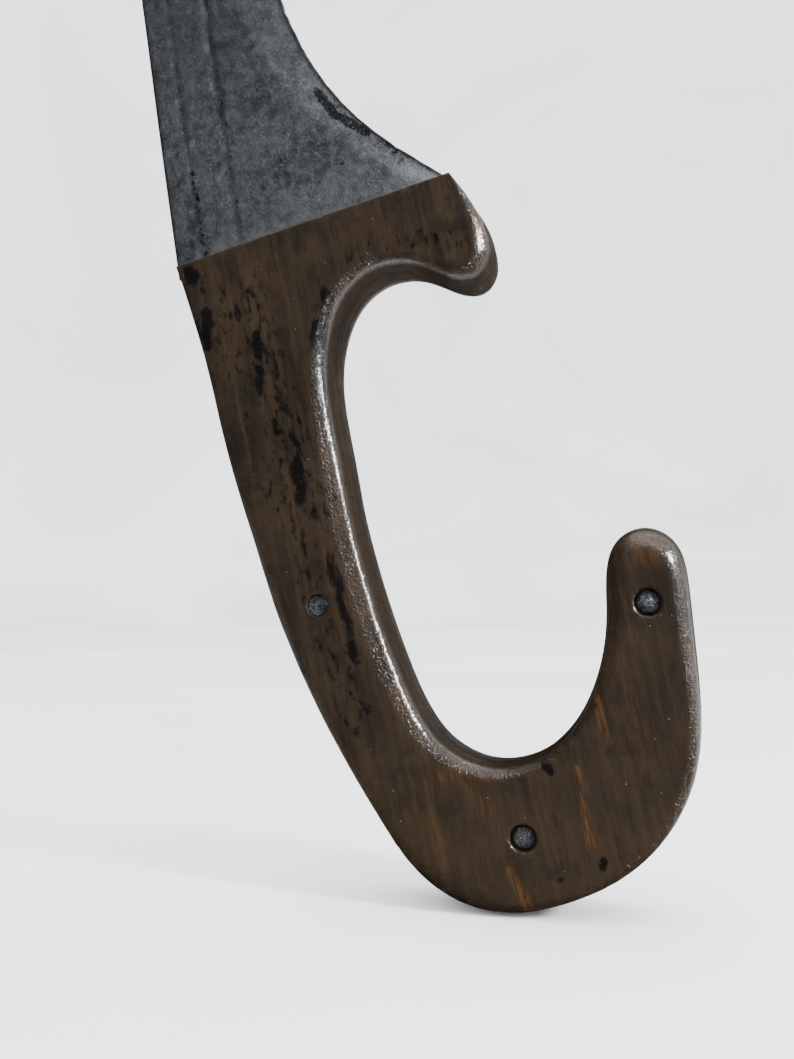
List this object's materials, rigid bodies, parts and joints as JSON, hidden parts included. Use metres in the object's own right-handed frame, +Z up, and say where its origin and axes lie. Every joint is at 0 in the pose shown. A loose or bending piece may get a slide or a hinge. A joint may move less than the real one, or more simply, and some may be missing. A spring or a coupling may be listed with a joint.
{
  "type": "falcata sword",
  "caption": "Single-edged forward-curved sword with an open hooked grip of two riveted wooden scales over a full hooked tang.",
  "frame": {"origin": "middle of the grip, where the palm holds it, on the mid-plane of the tang", "axes": "+Z up along the blade towards its point, +X towards the cutting edge and the fingers, -Y out of the front face, +Y out of the back face"},
  "size_m": [0.1325, 0.019, 0.5818],
  "materials": {
    "blade_steel": "dark oxide patina, fine pitting, rubbed lighter at the hilt",
    "grip_wood": "dark walnut, oiled and worn glossy, black in its hollows",
    "rivet_iron": "hammered, dark, dull"
  },
  "bodies": {
    "root": {"blade": "blade_steel", "grip_scale_front": "grip_wood", "grip_scale_back": "grip_wood", "rivet_palm": "rivet_iron", "rivet_heel": "rivet_iron", "rivet_hook": "rivet_iron", "rivet_burr_palm": "rivet_iron", "rivet_burr_heel": "rivet_iron", "rivet_burr_hook": "rivet_iron"}
  },
  "joints": []
}
